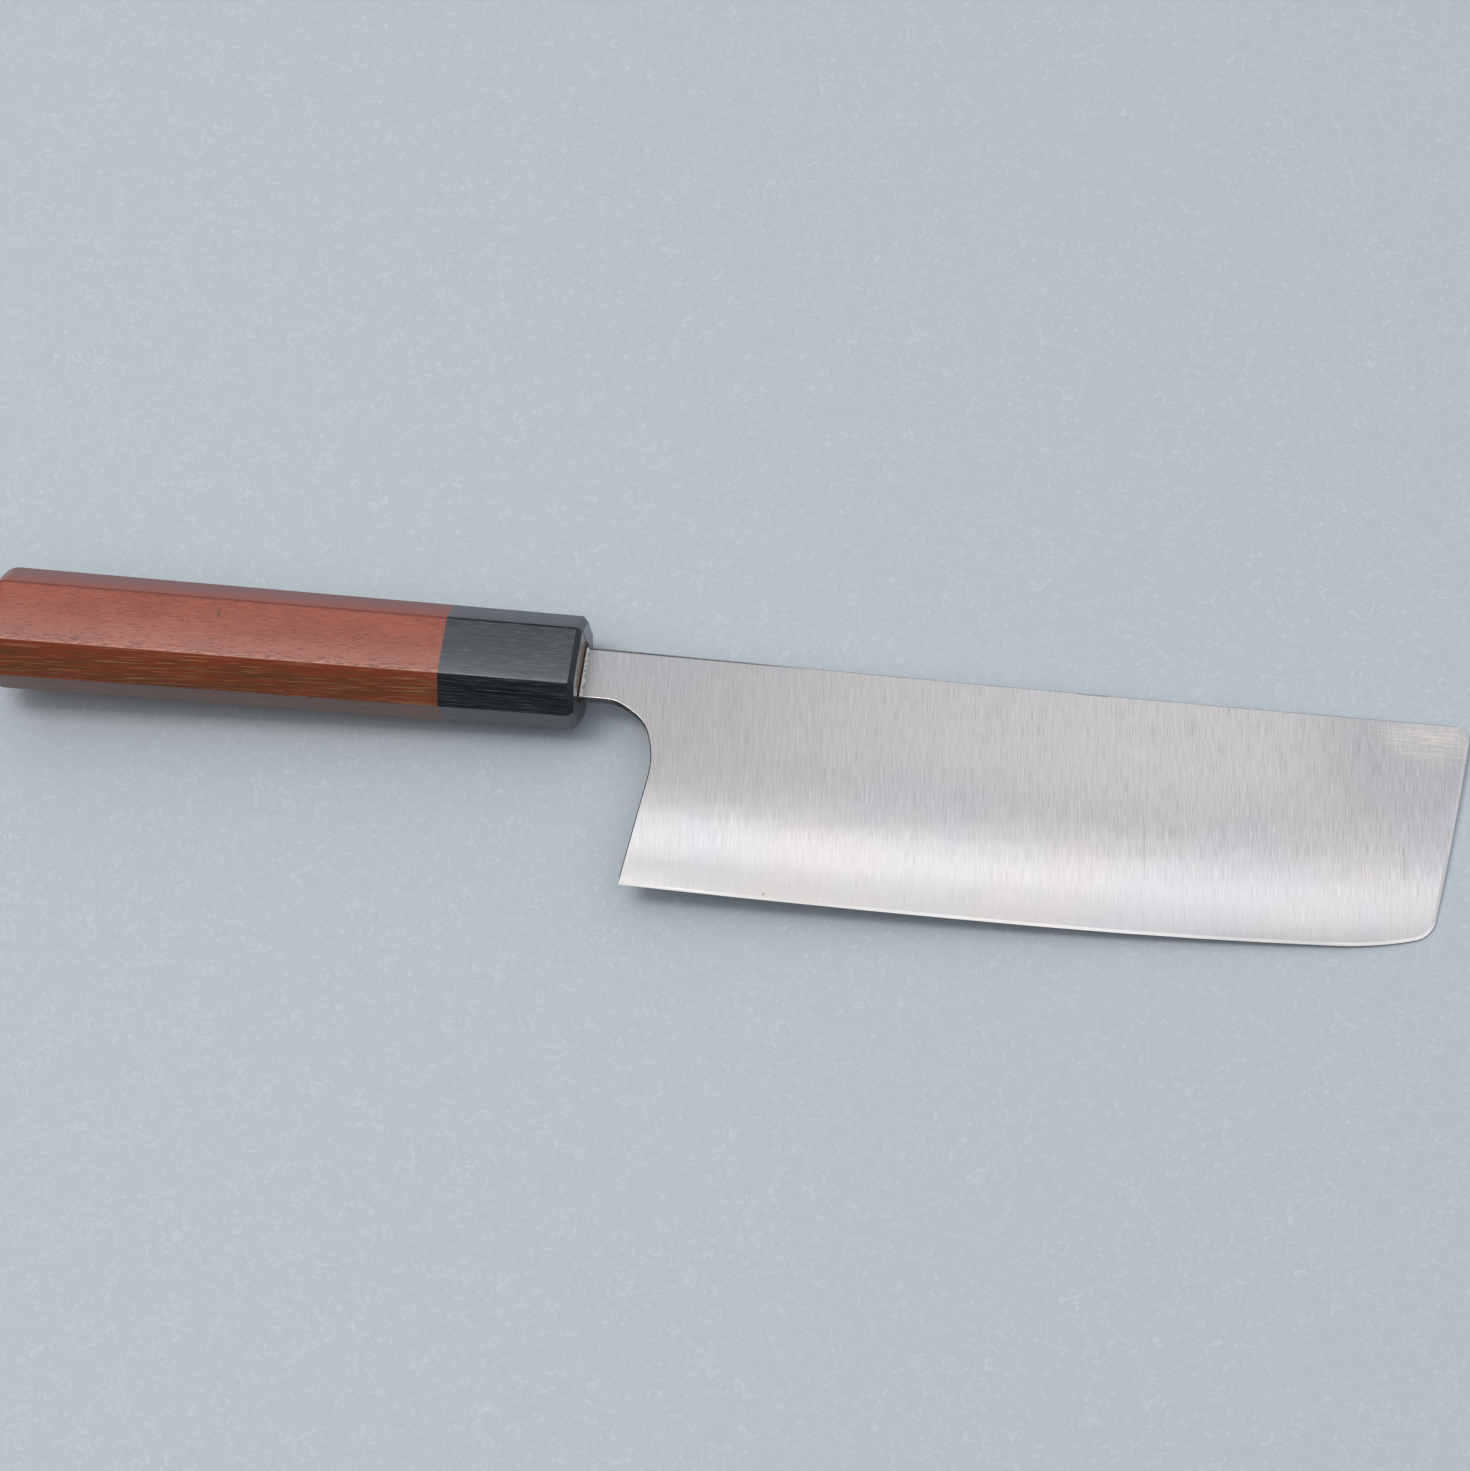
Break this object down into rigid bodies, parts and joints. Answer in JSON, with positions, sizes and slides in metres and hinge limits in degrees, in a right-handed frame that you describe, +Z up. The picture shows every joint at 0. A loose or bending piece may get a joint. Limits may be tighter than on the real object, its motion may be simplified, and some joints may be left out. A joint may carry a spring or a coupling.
{
  "type": "nakiri kitchen knife",
  "caption": "Nakiri vegetable knife with a straight tall blade, black ferrule and octagonal wooden handle.",
  "frame": {"origin": "worktop level under the middle of the knife's bounding box", "axes": "+Z up, +X along the knife from the butt towards the blade's tip, +Y from the cutting edge towards the spine; the knife lies on its side"},
  "size_m": [0.312, 0.06, 0.0238],
  "materials": {
    "blade_steel": "satin",
    "handle_wood": "satin",
    "ferrule_wood": "satin",
    "dowel_wood": "matte"
  },
  "bodies": {
    "root": {"blade": "blade_steel", "tang_dowel": "dowel_wood", "ferrule": "ferrule_wood", "handle_body": "handle_wood"}
  },
  "joints": []
}
